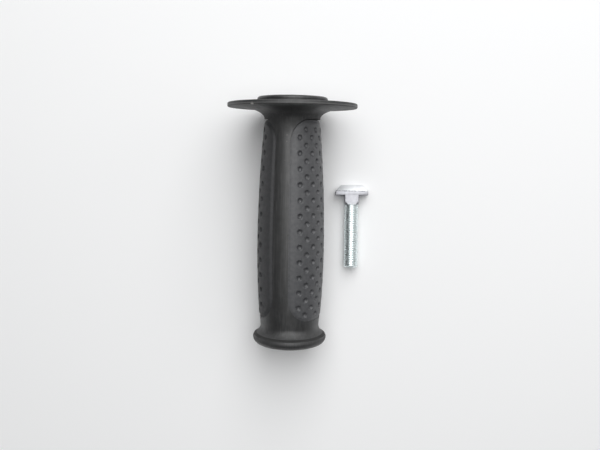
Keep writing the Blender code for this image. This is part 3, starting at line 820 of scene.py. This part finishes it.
def cut_away(solid, cutters):
    """The solid without the cutters' space; each cutter comes with its turn about the axis."""
    body = helper_object(solid, "uncut")
    helpers = [body]
    for number, (cutter, turn) in enumerate(cutters):
        tool = helper_object(cutter, f"cutter_{number}")
        tool.rotation_euler.z = turn
        helpers.append(tool)
        modifier = body.modifiers.new(tool.name, "BOOLEAN")
        modifier.operation = "DIFFERENCE"
        modifier.solver = "EXACT"
        modifier.object = tool
    bpy.context.view_layer.update()
    graph = bpy.context.evaluated_depsgraph_get()
    bm = bmesh.new()
    bm.from_mesh(body.evaluated_get(graph).to_mesh())
    for helper in helpers:
        bpy.data.objects.remove(helper)
    cut_faces = [face for face in bm.faces if len(face.verts) > 4]
    bmesh.ops.triangulate(bm, faces=cut_faces, quad_method="BEAUTY", ngon_method="BEAUTY")
    return bm


def pad_pocket():
    """The room that a pocket takes from the barrel: the pad's outline grown by the gap."""

    def above(_x, _station):
        return -CUT_PAST

    limits = pad_limits(PAD_GAP, PAD_GAP)
    return roll_sheet(limits, POCKET_STEP, POCKET_COLUMNS, 1, above, PAD_THICKNESS + PAD_GAP)


def make_body(matrix):
    """The moulding: turned in one, then cut for its pads, the hexagonal insert and the bolt's end."""
    top = boss_face()
    pocket_end = top + INSERT_BELOW_FACE + INSERT_LENGTH + INSERT_GAP
    pocket_radius = (INSERT_ACROSS_FLATS / 2 + INSERT_GAP) / math.cos(math.pi / INSERT_SIDES)
    cutters = [
        (pad_pocket(), 0.0),
        (pad_pocket(), math.pi),
        (prism(INSERT_SIDES, pocket_radius, top - CUT_PAST, pocket_end), 0.0),
        (prism(BORE_SIDES, CORE_BORE_RADIUS, top - CUT_PAST, CORE_BORE_END_STATION), 0.0),
    ]
    bm = cut_away(turn_outline(body_outline()), cutters)
    return finish_mesh(bm, "moulded_handle", matrix, BODY_SMOOTH_ANGLE, CUT_MERGE_DISTANCE)


# Bolt


def ring(bm, length, width, height):
    """A rectangle of points about the bolt's axis, at one height."""
    corners = ((1, 1), (-1, 1), (-1, -1), (1, -1))
    return [bm.verts.new((length / 2 * across, width / 2 * up, height)) for across, up in corners]


def loft(bm, rings):
    """Skin a stack of rings and cap both its ends."""
    for first, second in zip(rings, rings[1:]):
        count = len(first)
        for index in range(count):
            after = (index + 1) % count
            bm.faces.new((first[index], first[after], second[after], second[index]))
    bm.faces.new(list(reversed(rings[0])))
    bm.faces.new(rings[-1])


def add_head(bm):
    """Slab and roof of the T head, with every edge rounded."""
    rings = [
        ring(bm, HEAD_LENGTH, HEAD_WIDTH, 0.0),
        ring(bm, HEAD_LENGTH, HEAD_WIDTH, HEAD_SLAB),
        ring(bm, ROOF_LENGTH, ROOF_WIDTH, HEAD_SLAB + HEAD_ROOF),
    ]
    loft(bm, rings)
    bmesh.ops.recalc_face_normals(bm, faces=bm.faces)
    bmesh.ops.bevel(
        bm, geom=bm.edges[:], offset=HEAD_EDGE, segments=EDGE_SEGMENTS, profile=0.5, affect="EDGES"
    )


def neck_radius(angle, height):
    """Radius of the square neck, whose far corners are turned off on a cone."""
    flat = NECK_WIDTH / 2 / max(abs(math.cos(angle)), abs(math.sin(angle)))
    rise = min((height + NECK_LENGTH) / NECK_TAPER, 1.0)
    return min(flat, NECK_END_RADIUS + (NECK_CORNER_RADIUS - NECK_END_RADIUS) * rise)


def add_neck(bm):
    heights = [-NECK_LENGTH + NECK_TAPER * step / NECK_RINGS for step in range(NECK_RINGS + 1)]
    rings = []
    for height in heights + [HEAD_EDGE]:
        points = []
        for side in range(NECK_SIDES):
            angle = 2 * math.pi * (side + 0.5) / NECK_SIDES
            radius = neck_radius(angle, height)
            points.append(bm.verts.new((radius * math.cos(angle), radius * math.sin(angle), height)))
        rings.append(points)
    loft(bm, rings)


def thread_radius(turns, height):
    """Radius of the thread at a place along its profile, within its run-out and its chamfered end."""
    inside = abs((turns % 1.0) - 0.5) * 2.0
    crest = min(max((inside - THREAD_ROOT_SHARE) / THREAD_FLANK_SHARE, 0.0), 1.0)
    crest = crest * crest * (3.0 - 2.0 * crest)
    fade = min(max((-height - NECK_LENGTH) / THREAD_START, 0.0), 1.0)
    radius = SHANK_RADIUS - THREAD_DEPTH * (1.0 - crest) * fade - UNDERCUT * (1.0 - fade)
    to_end = height + NECK_LENGTH + SHANK_LENGTH
    return min(radius, SHANK_RADIUS - END_CHAMFER + max(to_end, 0.0))


def add_shank(bm):
    """Threaded shank as one helical strip, clamped flat at its two ends."""
    top, bottom = -NECK_LENGTH + THREAD_INTO_NECK, -NECK_LENGTH - SHANK_LENGTH
    turns = math.ceil((top - bottom) / THREAD_PITCH) + 1
    rows = []
    for row in range((turns + 1) * THREAD_STEPS + 1):
        points = []
        for side in range(THREAD_SIDES + 1):
            turn = row / THREAD_STEPS + side / THREAD_SIDES - 1.0
            height = min(max(bottom + turn * THREAD_PITCH, bottom), top)
            radius = thread_radius(row / THREAD_STEPS, height)
            angle = 2 * math.pi * side / THREAD_SIDES
            points.append(bm.verts.new((radius * math.cos(angle), radius * math.sin(angle), height)))
        rows.append(points)
    for first, second in zip(rows, rows[1:]):
        for side in range(THREAD_SIDES):
            bm.faces.new((first[side], first[side + 1], second[side + 1], second[side]))


def make_bolt(matrix):
    bm = bmesh.new()
    add_head(bm)
    add_neck(bm)
    add_shank(bm)
    bmesh.ops.remove_doubles(bm, verts=bm.verts, dist=MERGE_DISTANCE)
    bmesh.ops.dissolve_degenerate(bm, edges=bm.edges, dist=MERGE_DISTANCE)
    open_edges = [edge for edge in bm.edges if edge.is_boundary]
    bmesh.ops.holes_fill(bm, edges=open_edges, sides=0)
    return finish_mesh(bm, "clamp_bolt", matrix, BOLT_SMOOTH_ANGLE)


def main():
    bpy.context.scene.view_settings.view_transform = "Standard"
    make_camera()
    make_lights()
    make_surround()
    make_table()
    place = handle_frame()
    # One rubber in two copies: a painted-light copy for the right pad and a painted-shade copy for the
    # left
    lit_rubber = soft_rubber("rubber_finish", *LIT_RIGHT_RUBBER)
    shaded_rubber = soft_rubber("shaded_rubber_finish", *SHADED_LEFT_RUBBER)
    steel = plain_steel()
    for slot in frame["nodes"]["threaded_insert"].material_slots:
        slot.material = steel
    place_piece("fine_body", make_body(place), "handle_body", moulded_nylon(place))
    half_turn = Matrix.Rotation(math.pi, 4, "Z")
    place_piece("fine_pad_right", make_pad(place), "grip_pad_right", lit_rubber)
    place_piece("fine_pad_left", make_pad(place @ half_turn), "grip_pad_left", shaded_rubber)
    bolt_place = bolt_frame()
    place_piece("threaded_bolt", make_bolt(bolt_place), "t_bolt", zinc_plate(bolt_place))


main()
